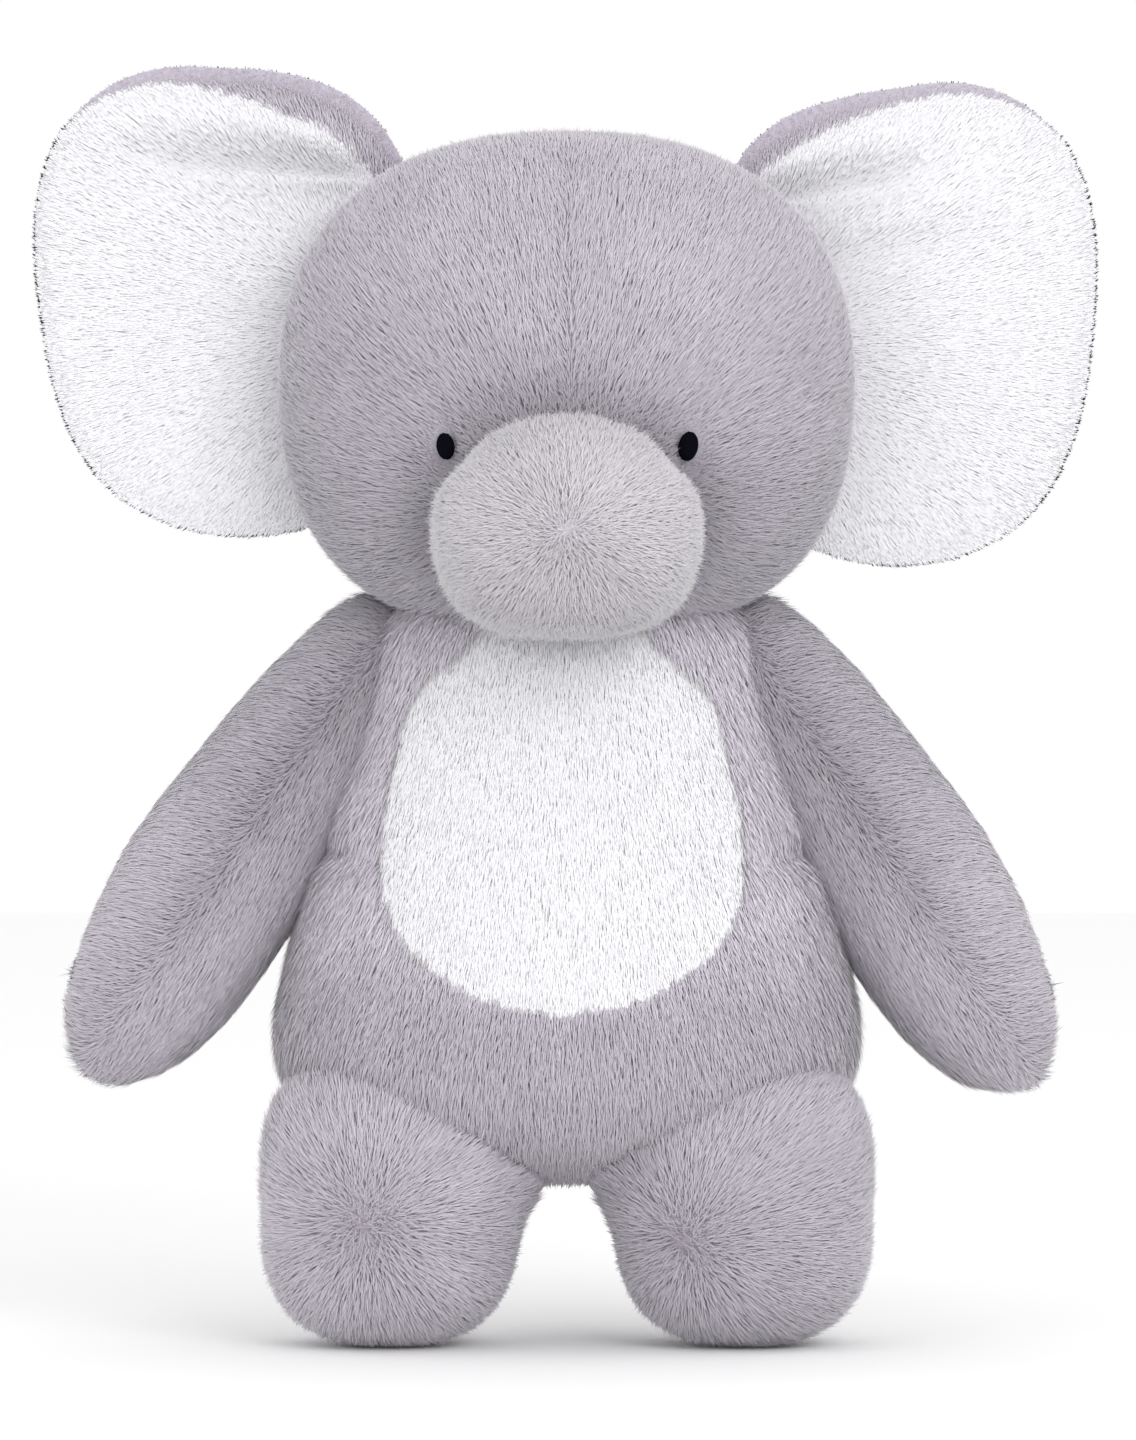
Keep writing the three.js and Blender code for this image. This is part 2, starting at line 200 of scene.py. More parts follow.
# The attribute read here multiplies in painted light and shade, set by place on each skin.
shade = math_node(tone_group, "MULTIPLY", shade, read_attribute(tone_group, "nap"))
brightness = tone_group.nodes.new("ShaderNodeHueSaturation")
joined(tone_group, grown, brightness.inputs["Color"])
joined(tone_group, shade, brightness.inputs["Value"])
joined(tone_group, brightness.outputs["Color"], tone_out.inputs["Colour"])
print("pile tone group:", len(tone_group.nodes), "nodes")

# %% [markdown]
# ## The cloths
# All three plushes share one recipe: dull fibre with a little sheen, where light catches the
# hair tips. The backing under the pile takes the hairs' root colour, with a fine mottled bump: on
# the gray, painted shade for the depth between hairs; on the white, painted light. It also takes
# the same painted light and shade by place as its pile.

# %% Pile and backing materials
def sheened(name):
    cloth, tree, look = new_material(name)
    look.inputs["Roughness"].default_value = 0.75
    look.inputs["Specular IOR Level"].default_value = 0.25
    look.inputs["Sheen Weight"].default_value = 0.25
    look.inputs["Sheen Roughness"].default_value = 0.6
    return cloth, tree, look


def pile_material(name, root, tip, hair_difference, patch_difference):
    cloth, tree, look = sheened(name)
    tone = tree.nodes.new("ShaderNodeGroup")
    tone.node_tree = tone_group
    tone.inputs["Root"].default_value = (*root, 1)
    tone.inputs["Tip"].default_value = (*tip, 1)
    tone.inputs["Hair Difference"].default_value = hair_difference
    tone.inputs["Patch Difference"].default_value = patch_difference
    joined(tree, tone.outputs["Colour"], look.inputs["Base Color"])
    # Light comes through so thin a hair: both its sides shade with the skin's outward normal.
    surface = tree.nodes.new("ShaderNodeNewGeometry")
    side = math_node(tree, "SUBTRACT", 1.0, math_node(tree, "MULTIPLY", surface.outputs["Backfacing"], 2.0))
    outward_normal = tree.nodes.new("ShaderNodeVectorMath")
    outward_normal.operation = "SCALE"
    joined(tree, surface.outputs["Normal"], outward_normal.inputs[0])
    joined(tree, side, outward_normal.inputs["Scale"])
    joined(tree, outward_normal.outputs["Vector"], look.inputs["Normal"])
    return cloth


# Roots darker than tips on the gray and the pale gray: painted shade between the hairs.
GRAY_ROOT, GRAY_TIP = (0.44, 0.40, 0.47), (0.555, 0.525, 0.575)
PALE_ROOT, PALE_TIP = (0.54, 0.51, 0.56), (0.635, 0.61, 0.64)
# White roots lighter than tips: painted light, for the light that white hairs pass to each other.
WHITE_ROOT, WHITE_TIP = (0.78, 0.775, 0.80), (0.665, 0.655, 0.685)  # white hairs light each other
gray_pile = pile_material("gray pile", GRAY_ROOT, GRAY_TIP, 0.14, 0.22)
pale_pile = pile_material("pale gray pile", PALE_ROOT, PALE_TIP, 0.12, 0.16)
white_pile = pile_material("white pile", WHITE_ROOT, WHITE_TIP, 0.02, 0.04)


MOTTLE_DARK, MOTTLE_LIGHT, BRIGHTEST = 0.75, 1.25, 0.8  # how the backing's threads differ


def backing_material(name, shade, other=None):
    """The cloth under the pile. Where the white attribute is 1, it has the other shade."""
    cloth, tree, look = sheened(name)
    coordinates = tree.nodes.new("ShaderNodeTexCoord")
    mottle = tree.nodes.new("ShaderNodeTexNoise")
    mottle.inputs["Scale"].default_value = 900
    mottle.inputs["Detail"].default_value = 4
    joined(tree, coordinates.outputs["Object"], mottle.inputs["Vector"])
    dark = [MOTTLE_DARK * c for c in shade]
    light = [MOTTLE_LIGHT * min(c, BRIGHTEST) for c in shade]
    colour = mixed_colour(tree, mottle.outputs["Fac"], (*dark, 1), (*light, 1))
    if other:
        colour = mixed_colour(tree, read_attribute(tree, "white"), colour, (*other, 1))
    # Painted light and shade by place, from the skin's attribute, as on the pile.
    brightness = tree.nodes.new("ShaderNodeHueSaturation")
    joined(tree, colour, brightness.inputs["Color"])
    joined(tree, read_attribute(tree, "nap"), brightness.inputs["Value"])
    joined(tree, brightness.outputs["Color"], look.inputs["Base Color"])
    bump = tree.nodes.new("ShaderNodeBump")
    bump.inputs["Distance"].default_value = 0.0004
    joined(tree, mottle.outputs["Fac"], bump.inputs["Height"])
    joined(tree, bump.outputs["Normal"], look.inputs["Normal"])
    return cloth


gray_backing = backing_material("gray backing", GRAY_ROOT, WHITE_ROOT)
pale_backing = backing_material("pale backing", PALE_ROOT)
print("materials:", [m.name for m in (gray_pile, pale_pile, white_pile, gray_backing, pale_backing)])

# %% [markdown]
# ## One hair, and the tree that plants it
# A hair is a slim blade of two triangles, widest near its root, which bows over. Geometry
# Nodes scatters thousands of them over a skin, leans each one the way the cloth was brushed
# (the skin's comb attribute), and turns and scales each a little differently. Every hair keeps
# the skin's own normal, so that the pile shades as one soft surface.

# %% The hair
hair_mesh = bpy.data.meshes.new("hair")
HAIR_MIDDLE, HAIR_BOW, HAIR_DROOP = 0.38, 0.08, -0.04
hair_mesh.from_pydata(
    [(0, 0, 0), (-0.5, HAIR_BOW, HAIR_MIDDLE), (0.5, HAIR_BOW, HAIR_MIDDLE), (0, HAIR_DROOP, 1)],
    [], [(0, 1, 2), (2, 1, 3)])
hair_along = hair_mesh.attributes.new("along", "FLOAT", "POINT")
hair_along.data.foreach_set("value", [0, HAIR_MIDDLE, HAIR_MIDDLE, 1])
hair_object = bpy.data.objects.new("hair", hair_mesh)
print("hair:", len(hair_mesh.vertices), "points")

# %% The planting tree
def geometry_tree(name, inputs):
    tree = bpy.data.node_groups.new(name, "GeometryNodeTree")
    tree.interface.new_socket("Geometry", in_out="INPUT", socket_type="NodeSocketGeometry")
    for label, kind, start in inputs:
        socket = tree.interface.new_socket(label, in_out="INPUT", socket_type=kind)
        if start is not None:
            socket.default_value = start
    tree.interface.new_socket("Geometry", in_out="OUTPUT", socket_type="NodeSocketGeometry")
    return tree, tree.nodes.new("NodeGroupInput").outputs, tree.nodes.new("NodeGroupOutput").inputs


def added(tree, kind, settings=None, **values):
    """A node with its settings and inputs. An input is a number, a vector or another socket."""
    node = tree.nodes.new(kind)
    for key, value in (settings or {}).items():
        setattr(node, key, value)
    for key, value in values.items():
        by_number = key[0] == "i" and key[1:].isdigit()
        socket = node.inputs[int(key[1:])] if by_number else node.inputs[key.replace("_", " ")]
        if isinstance(value, bpy.types.NodeSocket):
            tree.links.new(value, socket)
        else:
            socket.default_value = value
    return node


pile_tree, given, result = geometry_tree("plant the pile", [
    ("Hair", "NodeSocketObject", None),
    ("Hairs Per Square Metre", "NodeSocketFloat", 3.4e6),
    ("Length", "NodeSocketFloat", 0.0060),
    ("Width", "NodeSocketFloat", 0.00033),
    ("Rise", "NodeSocketFloat", 0.36),
    ("Scatter", "NodeSocketFloat", 0.2),
    ("Tuft Scatter", "NodeSocketFloat", 0.22),
    ("Seed", "NodeSocketInt", 1),
    ("Cloth", "NodeSocketMaterial", None),
])


def named(kind, name):
    return added(pile_tree, "GeometryNodeInputNamedAttribute", {"data_type": kind}, Name=name).outputs["Attribute"]


def vector_maths(operation, first, second):
    return added(pile_tree, "ShaderNodeVectorMath", {"operation": operation}, i0=first, i1=second).outputs["Vector"]


def scaled(vector, factor):
    node = added(pile_tree, "ShaderNodeVectorMath", {"operation": "SCALE"}, i0=vector, Scale=factor)
    return node.outputs["Vector"]


def times(first, second):
    return added(pile_tree, "ShaderNodeMath", {"operation": "MULTIPLY"}, i0=first, i1=second).outputs[0]


def chance(low, high, stream):
    """A random number for each hair. Streams with different numbers are independent."""
    seed = added(pile_tree, "FunctionNodeIntegerMath", {"operation": "ADD"}, i0=given["Seed"], i1=stream)
    node = added(pile_tree, "FunctionNodeRandomValue", {"data_type": "FLOAT"}, Seed=seed.outputs[0])
    node.inputs[2].default_value, node.inputs[3].default_value = low, high
    return node.outputs[1]


TUFT_SCALE = 130.0  # tufts about 8 mm across
MOST_ROLL = 0.35  # radians that a hair may turn about its own length
WIDTHS, LENGTHS = (0.7, 1.3), (0.65, 1.15)  # the smallest and largest share of the given size

density = times(given["Hairs Per Square Metre"], named("FLOAT", "pile"))
points = added(pile_tree, "GeometryNodeDistributePointsOnFaces", {"distribute_method": "RANDOM"},
               Mesh=given["Geometry"], Density=density, Seed=given["Seed"])
normal = points.outputs["Normal"]
stored = added(pile_tree, "GeometryNodeStoreNamedAttribute", {"data_type": "FLOAT_VECTOR", "domain": "POINT"},
               Geometry=points.outputs["Points"], Name="skin_normal", Value=normal)
skin_normal = named("FLOAT_VECTOR", "skin_normal")
stored = added(pile_tree, "GeometryNodeStoreNamedAttribute", {"data_type": "FLOAT", "domain": "POINT"},
               Geometry=stored.outputs["Geometry"], Name="hair", Value=chance(0.0, 1.0, 11))
position = pile_tree.nodes.new("GeometryNodeInputPosition").outputs[0]
tufts = added(pile_tree, "ShaderNodeTexNoise", Vector=position, Scale=TUFT_SCALE, Detail=1.0)
tuft_lean = scaled(vector_maths("SUBTRACT", tufts.outputs["Color"], (0.5, 0.5, 0.5)), given["Tuft Scatter"])
own = added(pile_tree, "FunctionNodeRandomValue", {"data_type": "FLOAT_VECTOR"}, Seed=given["Seed"])
own.inputs[0].default_value, own.inputs[1].default_value = (-1, -1, -1), (1, 1, 1)
own_lean = scaled(own.outputs[0], given["Scatter"])
lean = vector_maths("ADD", vector_maths("ADD", named("FLOAT_VECTOR", "comb"), scaled(skin_normal, given["Rise"])),
                    vector_maths("ADD", tuft_lean, own_lean))
facing = added(pile_tree, "FunctionNodeAxesToRotation", {"primary_axis": "Z", "secondary_axis": "Y"},
               i0=lean, i1=skin_normal)
roll = added(pile_tree, "FunctionNodeAxisAngleToRotation", Axis=(0, 0, 1), Angle=chance(-MOST_ROLL, MOST_ROLL, 12))
turned = added(pile_tree, "FunctionNodeRotateRotation", {"rotation_space": "LOCAL"},
               i0=facing.outputs[0], i1=roll.outputs[0])
hair_width = times(given["Width"], chance(*WIDTHS, 13))
hair_length = times(times(given["Length"], chance(*LENGTHS, 14)), named("FLOAT", "reach"))
size = added(pile_tree, "ShaderNodeCombineXYZ", X=hair_width, Y=hair_length, Z=hair_length)
one_hair = added(pile_tree, "GeometryNodeObjectInfo", Object=given["Hair"])
planted = added(pile_tree, "GeometryNodeInstanceOnPoints", Points=stored.outputs["Geometry"],
                Instance=one_hair.outputs["Geometry"], Rotation=turned.outputs[0], Scale=size.outputs[0])
real = added(pile_tree, "GeometryNodeRealizeInstances", Geometry=planted.outputs["Instances"])
painted = added(pile_tree, "GeometryNodeSetMaterial", Geometry=real.outputs["Geometry"], Material=given["Cloth"])
pile_tree.links.new(painted.outputs["Geometry"], result["Geometry"])
print("planting tree:", len(pile_tree.nodes), "nodes")

# %% [markdown]
# A finished pile is a plain mesh. No hair may pass through the floor the toy stands on, so hair
# tips are lifted to it. Hairs of a different cloth grow from the same skin with another mask.

# %% Plant a pile on a skin
FLOOR_CLEARANCE = 0.0002
BACK_PILE = {"Hairs Per Square Metre": 2.2e6, "Width": 0.00042}  # fewer and broader hairs behind


def coordinates_of(mesh):
    flat = np.empty(len(mesh.vertices) * 3, np.float32)
    mesh.vertices.foreach_get("co", flat)
    return flat.reshape(-1, 3)


def normals_of(mesh):
    flat = np.empty(len(mesh.vertices) * 3, np.float32)
    mesh.vertex_normals.foreach_get("vector", flat)
    return flat.reshape(-1, 3)


def move_points(mesh, points):
    mesh.vertices.foreach_set("co", points.astype(np.float32).ravel())
    mesh.update()


def shade_smooth(mesh):
    mesh.polygons.foreach_set("use_smooth", np.ones(len(mesh.polygons), bool))


def store(mesh, name, values):
    """One number or one vector for each point of a mesh."""
    values = np.asarray(values, np.float32)
    if name in mesh.attributes:
        mesh.attributes.remove(mesh.attributes[name])
    if values.ndim == 2:
        mesh.attributes.new(name, "FLOAT_VECTOR", "POINT").data.foreach_set("vector", values.ravel())
    else:
        mesh.attributes.new(name, "FLOAT", "POINT").data.foreach_set("value", values)


def plain_mesh(piece, name):
    """The mesh that a piece's modifiers make, as a mesh of its own."""
    depsgraph = bpy.context.evaluated_depsgraph_get()
    depsgraph.update()
    mesh = bpy.data.meshes.new_from_object(
        piece.evaluated_get(depsgraph), preserve_all_data_layers=True, depsgraph=depsgraph)
    mesh.name = name
    return mesh


def plant(name, skin, cloth, mask, settings, seed):
    """A pile on the part of a skin where mask is above 0."""
    store(skin.data, "pile", mask)
    growing = skin.modifiers.new("pile", "NODES")
    growing.node_group = pile_tree
    values = {"Hair": hair_object, "Cloth": cloth, "Seed": seed, **settings}
    for item in pile_tree.interface.items_tree:
        if item.in_out == "INPUT" and item.name in values:
            growing[item.identifier] = values[item.name]
    mesh = plain_mesh(skin, name)
    skin.modifiers.remove(growing)
    flat = coordinates_of(mesh)
    flat[:, 2] = np.maximum(flat[:, 2], FLOOR_CLEARANCE)
    mesh.vertices.foreach_set("co", flat.ravel())
    soft = np.empty(len(flat) * 3, np.float32)
    mesh.attributes["skin_normal"].data.foreach_get("vector", soft)
    shade_smooth(mesh)
    mesh.normals_split_custom_set_from_vertices(soft.reshape(-1, 3))
    mesh.attributes.remove(mesh.attributes["skin_normal"])
    for extra in ("comb", "pile", "reach", "white"):
        if extra in mesh.attributes:
            mesh.attributes.remove(mesh.attributes[extra])
    pile = bpy.data.objects.new(name, mesh)
    scene.collection.objects.link(pile)
    print(name, len(mesh.polygons), "triangles")
    return pile


# %% [markdown]
# ## Stuffed forms
# Each part starts as a rounded closed form a little inside its CAD panels, to leave room for
# the pile. It is remeshed evenly, blown up a little by the cloth solver as its stuffing would
# do, and smoothed. The solver's push is kept near one average, so that the part keeps its size.

# %% Rounded forms
def pillow(centre, half, squareness, jowl=0.0, rings=40, spokes=64):
    """Points and faces of a rounded closed form, in millimetres about the body's middle."""
    tilts = np.linspace(0, np.pi, rings + 1)[1:-1]
    turns = np.linspace(0, 2 * np.pi, spokes, endpoint=False)
    tilt, turn = np.meshgrid(tilts, turns, indexing="ij")
    way = np.stack([np.sin(tilt) * np.cos(turn), np.sin(tilt) * np.sin(turn), np.cos(tilt)], -1).reshape(-1, 3)
    way = np.vstack([way, [[0, 0, 1], [0, 0, -1]]])
    power = squareness + jowl * np.maximum(0, -way[:, 2])
    reach = (np.abs(way) ** power[:, None]).sum(1) ** (-1 / power)
    points = way * reach[:, None] * np.array(half) + np.array(centre)
    return points, grid_faces(rings - 1, spokes)


def grid_faces(rows, spokes):
    """Faces of rings of points, closed by a point at each end, which come last."""
    faces = []
    for row in range(rows - 1):
        for i in range(spokes):
            j = (i + 1) % spokes
            faces.append((row * spokes + i, (row + 1) * spokes + i, (row + 1) * spokes + j, row * spokes + j))
    top, foot = rows * spokes, rows * spokes + 1
    last = (rows - 1) * spokes
    for i in range(spokes):
        j = (i + 1) % spokes
        faces.append((top, i, j))
        faces.append((foot, last + j, last + i))
    return faces


def smooth_profile(points, count=60):
    """A smooth curve through points, for a turned form."""
    points = np.array(points, float)
    before, after = 2 * points[0] - points[1], 2 * points[-1] - points[-2]
    p = np.vstack([before, points, after])
    t = np.linspace(0, len(points) - 1 - 1e-9, count)
    i = t.astype(int)
    u = (t - i)[:, None]
    a, b, c, d = p[i], p[i + 1], p[i + 2], p[i + 3]
    return 0.5 * (2 * b + (c - a) * u + (2 * a - 5 * b + 4 * c - d) * u**2 + (3 * b - a - 3 * c + d) * u**3)


THINNEST = 0.5  # least half width of a turned form's ring, in millimetres


def turned_form(profile, depth, spokes=64):
    """A form turned about the Z axis from (height, half width), then flattened in Y."""
    profile = np.array(profile, float)
    inner = profile[1:-1]
    angle = np.linspace(0, 2 * np.pi, spokes, endpoint=False)
    ring = np.stack([np.cos(angle), depth * np.sin(angle)], -1)
    points = [np.column_stack([ring * max(half, THINNEST), np.full(spokes, height)]) for height, half in inner[::-1]]
    ends = [[0, 0, profile[-1][0]], [0, 0, profile[0][0]]]
    return np.vstack([*points, ends]), grid_faces(len(inner), spokes)


def new_piece(name, forms):
    """One object from several forms, in metres in the model's own frame."""
    points, faces, start = [], [], 0
    for form_points, form_faces in forms:
        points.append(form_points)
        faces += [tuple(start + i for i in face) for face in form_faces]
        start += len(form_points)
    points = (np.vstack(points) + [0, SETBACK, 0]) * MM
    mesh = bpy.data.meshes.new(name)
    mesh.from_pydata(points.tolist(), [], faces)
    piece = bpy.data.objects.new(name, mesh)
    scene.collection.objects.link(piece)
    return piece


# %% Remesh, stuff and smooth
VOXEL = 0.0035
STUFFING_PRESSURE = 4.0
STUFFING_FRAMES = 20
STUFFING_PUSH = 0.0012  # how far the stuffing moves the skin on average, in metres


def settle(piece):
    """Replace a piece's mesh by what its modifiers make of it, and drop them."""
    mesh = plain_mesh(piece, piece.name)
    piece.modifiers.clear()
    piece.data = mesh


def stuffed(piece, smoothing=6):
    """Make a piece one even skin, swollen by its stuffing. The average swelling is always the same."""
    remesh = piece.modifiers.new("even mesh", "REMESH")
    remesh.mode = "VOXEL"
    remesh.voxel_size = VOXEL
    settle(piece)
    rest, outwards = coordinates_of(piece.data), normals_of(piece.data)
    swell = np.zeros(len(rest))
    cloth = piece.modifiers.new("stuffing", "CLOTH")
    cloth.settings.use_pressure = True
    cloth.settings.uniform_pressure_force = STUFFING_PRESSURE
    cloth.settings.effector_weights.gravity = 0
    cloth.point_cache.frame_start, cloth.point_cache.frame_end = 1, STUFFING_FRAMES
    for step in range(1, STUFFING_FRAMES + 1):
        scene.frame_set(step)
    swollen = coordinates_of(plain_mesh(piece, "swollen"))
    piece.modifiers.remove(cloth)
    scene.frame_set(1)
    swell = ((swollen - rest) * outwards).sum(1)
    push = STUFFING_PUSH + np.clip(swell - swell.mean(), -STUFFING_PUSH / 2, STUFFING_PUSH / 2)
    move_points(piece.data, rest + outwards * push[:, None])
    smooth = piece.modifiers.new("relaxed cloth", "SMOOTH")
    smooth.factor, smooth.iterations = 0.5, smoothing
    finer = piece.modifiers.new("finer mesh", "SUBSURF")
    finer.levels = finer.render_levels = 1
    settle(piece)
    shade_smooth(piece.data)
    print(piece.name, len(piece.data.vertices), "points")


# %% [markdown]
# ## Where one form lies inside another
# No hair grows deep inside another part, where nobody sees it. Each form has a level: below 1
# inside it, 1 on its surface and above 1 outside. A little pile goes on into the neighbour, and
# more where an arm or a leg moves away from the body. The levels also shape the brushing, such
# as the tuft of short upright hair round the foot of the trunk.

# %% Sizes and levels
PILE_ROOM = 2.4  # from the CAD panels' outside down to the skin
SWELL_ROOM, TRUNK_SWELL_ROOM = 0.8, 1.8  # left free for the stuffing's push
# The levels at which a pile stops inside its neighbour.
BODY_UNDER_LIMBS, LIMBS_UNDER_BODY = 0.82, 0.88
NECK_UNDER_BODY = 0.96
UNDER_HEAD, ARMS_UNDER_HEAD, EARS_UNDER_HEAD, HEAD_UNDER_TRUNK = 0.96, 0.98, 0.97, 0.97
HEAD_CENTRE, HEAD_HALF = np.array([0, 0, 264.0]), np.array([80, 62, 70.0])
HEAD_SQUARENESS, HEAD_JOWL = 2.35, 0.4
TRUNK_CENTRE, TRUNK_HALF, TRUNK_SQUARENESS = np.array([0, -60, 225.0]), np.array([37.5, 44, 31.0]), 1.85
BODY_DEPTH = 0.68
BODY_PROFILE = [[38, 0], [39, 30], [43, 52], [52, 68], [65, 77], [86, 80], [108, 77],
                [130, 72], [150, 65], [168, 55.5], [183, 45], [189, 33], [190, 0]]


def level(points, centre, half, squareness, jowl=0.0):
    part = (points - centre) / half
    power = squareness + jowl * np.clip(-part[:, 2], 0, 1)
    return (np.abs(part) ** power[:, None]).sum(1) ** (1 / power)


def head_level(points):
    return level(points, HEAD_CENTRE, HEAD_HALF - PILE_ROOM, HEAD_SQUARENESS, HEAD_JOWL)


def trunk_level(points):
    return level(points, TRUNK_CENTRE, TRUNK_HALF - PILE_ROOM, TRUNK_SQUARENESS)


def body_level(points):
    heights, halves = np.array(BODY_PROFILE)[:, 0], np.array(BODY_PROFILE)[:, 1]
    half = np.maximum(np.interp(points[:, 2], heights, halves, left=0, right=0) - PILE_ROOM, 1)
    return np.hypot(points[:, 0] / half, points[:, 1] / (half * BODY_DEPTH))


def in_millimetres(mesh):
    """A mesh's points in millimetres about the body's middle."""
    return coordinates_of(mesh).astype(float) / MM - [0, SETBACK, 0]


def rise_between(values, low, high):
    """0 below low, 1 above high, and a smooth turn between."""
    t = np.clip((values - low) / (high - low), 0, 1)
    return t * t * (3 - 2 * t)


def dressed(mesh, direction, strength=1.0, reach=1.0, nap=1.0):
    """Store how a skin's pile is brushed, laid along the skin, its length, and its painted light and shade by place.
    """
    each = np.ones(len(mesh.vertices))
    store(mesh, "reach", each * reach)
    store(mesh, "nap", each * nap)
    normal = normals_of(mesh).astype(float)
    flat = direction - (direction * normal).sum(1, keepdims=True) * normal
    flat /= np.maximum(np.linalg.norm(flat, axis=1, keepdims=True), 1e-6)
    store(mesh, "comb", flat * np.reshape(strength, (-1, 1)) if np.ndim(strength) else flat * strength)


def down_behind(direction, where, start, end):
    """A brushing direction that turns downwards from y = start to y = end."""
    share = rise_between(where[:, 1:2], start, end)
    ahead = direction / np.maximum(np.linalg.norm(direction, axis=1, keepdims=True), 1e-6)
    return ahead * (1 - share) + np.array([0, 0, -1.0]) * share


def flatter_behind(where):
    """How much stronger the brushing is towards the back, so that the pile lies flatter there."""
    return 1 + 1.5 * rise_between(where[:, 1], -25, 5)


def finished(piece, body, stands_for=(), bend=None):
    """Tie a piece to a body, or, when it is given a bend, only apply its transform; and hide the CAD nodes it stands
    for.
    """
    if bend:
        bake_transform(piece)
    else:
        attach(piece, body)
    if stands_for:
        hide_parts(*stands_for)


# %% [markdown]
# ## The head
# The head is a wide rounded cushion of four gray panels. Its pile is brushed away from the
# trunk over the brow, the cheeks and the crown, and behind it lies flatter and points down.
# Round the foot of the trunk the hairs stand up, and round each eye they are cut short.

# %% Head skin and pile
EYE_X, EYE_Z = 32.6, 245.8
HEAD_SEAM_Y = 6.0
BROW_SEAM = (256.0, 325.0)  # lowest and highest point of the seam down the middle of the brow
SEAM_PARTING = 22  # how strongly the pile is brushed away from that seam
FACE_MIDDLE = [0, -50, 228]  # the head's pile is brushed away from here
FAR_FROM_EYES = 9  # added to the gap on the back half of the head


def gap_to_eye(where, side):
    """How far places are from an eye: 1 at the edge of the short hair round it."""
    gap = np.hypot((where[:, 0] - side * EYE_X) / 3.0, (where[:, 2] - EYE_Z) / 4.2)
    return gap + (where[:, 1] > 0) * FAR_FROM_EYES


head = new_piece("head_plush", [
    pillow(HEAD_CENTRE, HEAD_HALF - PILE_ROOM - SWELL_ROOM, HEAD_SQUARENESS, HEAD_JOWL)])
stuffed(head)
head.data.materials.append(gray_backing)
where = in_millimetres(head.data)
upright = rise_between(level(where, TRUNK_CENTRE, TRUNK_HALF, TRUNK_SQUARENESS), 1.0, 1.4)
on_brow = (where[:, 2] > BROW_SEAM[0]) & (where[:, 2] < BROW_SEAM[1]) & (where[:, 1] < 0)
beside_seam = np.exp(-np.abs(where[:, 0]) / 5) * on_brow
brushed = where - FACE_MIDDLE
brushed[:, 0] += np.sign(where[:, 0]) * beside_seam * SEAM_PARTING
eye_gap = np.min([gap_to_eye(where, side) for side in (1, -1)], axis=0)
# Painted light and shade on the head: lighter towards the crown; darker on the cheeks, round the foot of the trunk
# and in the parting along the brow seam.
painted_light_above = 0.24 * rise_between(where[:, 2], 215, 300)
painted_shade_beside = 0.06 * (where[:, 0] / HEAD_HALF[0]) ** 2
head_painted_shading = (0.79 + painted_light_above - painted_shade_beside) * (1 - 0.10 * (1 - upright)) * (1 - 0.08 * beside_seam)
dressed(head.data, down_behind(brushed, where, -10, 30),
        strength=(0.3 + 0.7 * upright) * flatter_behind(where),
        reach=(0.2 + 0.8 * rise_between(eye_gap, 1.0, 2.6)) * (1 - 0.25 * beside_seam), nap=head_painted_shading)
open_skin = (trunk_level(where) > HEAD_UNDER_TRUNK) & (body_level(where + [0, 0, 1]) > 1.0) & (eye_gap > 0.95)
seed = 20
for half, part in (("front", where[:, 1] < HEAD_SEAM_Y), ("back", where[:, 1] >= HEAD_SEAM_Y)):
    for own, side_part in (("left", where[:, 0] >= 0), ("right", where[:, 0] < 0)):
        seed += 1
        pile = plant(f"head_pile_{half}_{own}", head, gray_pile, open_skin & part & side_part,
                     BACK_PILE if half == "back" else {}, seed)
        finished(pile, "head", [f"head_{half}_{own}"])
finished(head, "head", ["head_filling"])

# %% [markdown]
# ## The eyes
# Each eye is a small oval of black satin stitch: many threads side by side across a raised
# pad. The pad is a rounded form whose surface is ridged thread by thread.

# %% Eyes
THREAD_PITCH = 0.36
THREAD_SLANT = 0.18
THREAD_SWELL = 0.07
EYE_FLATNESS, EYE_TURN, EYE_LIFT = 0.9, 0.25, 0.1  # share, radians outwards, mm back from the face
# Each eye: its side, half sizes across, deep and high, and how far its top leans out in radians.
EYES = [(1, "left", (2.75, 1.6, 3.95), 0.10), (-1, "right", (2.5, 1.6, 3.6), -0.08)]
FUZZ_DARK, FUZZ_LIGHT = (0.001, 0.001, 0.002, 1), (0.006, 0.006, 0.010, 1)

thread_black, black_tree, thread_look = new_material("black thread")
thread_look.inputs["Roughness"].default_value = 0.5
thread_look.inputs["Specular IOR Level"].default_value = 0.0
thread_fuzz = black_tree.nodes.new("ShaderNodeTexNoise")
thread_fuzz.inputs["Scale"].default_value = 4000
thread_place = black_tree.nodes.new("ShaderNodeTexCoord")
joined(black_tree, thread_place.outputs["Object"], thread_fuzz.inputs["Vector"])
fuzz_colour = mixed_colour(black_tree, thread_fuzz.outputs["Fac"], FUZZ_DARK, FUZZ_LIGHT)
joined(black_tree, fuzz_colour, thread_look.inputs["Base Color"])


def face_y(x, z):
    """How far forward the face is at a place seen from the front."""
    up, across = (z - HEAD_CENTRE[2]) / HEAD_HALF[2], abs(x) / HEAD_HALF[0]
    power = HEAD_SQUARENESS + HEAD_JOWL * max(0, -up)
    return -HEAD_HALF[1] * (1 - across**power - abs(up) ** power) ** (1 / power)


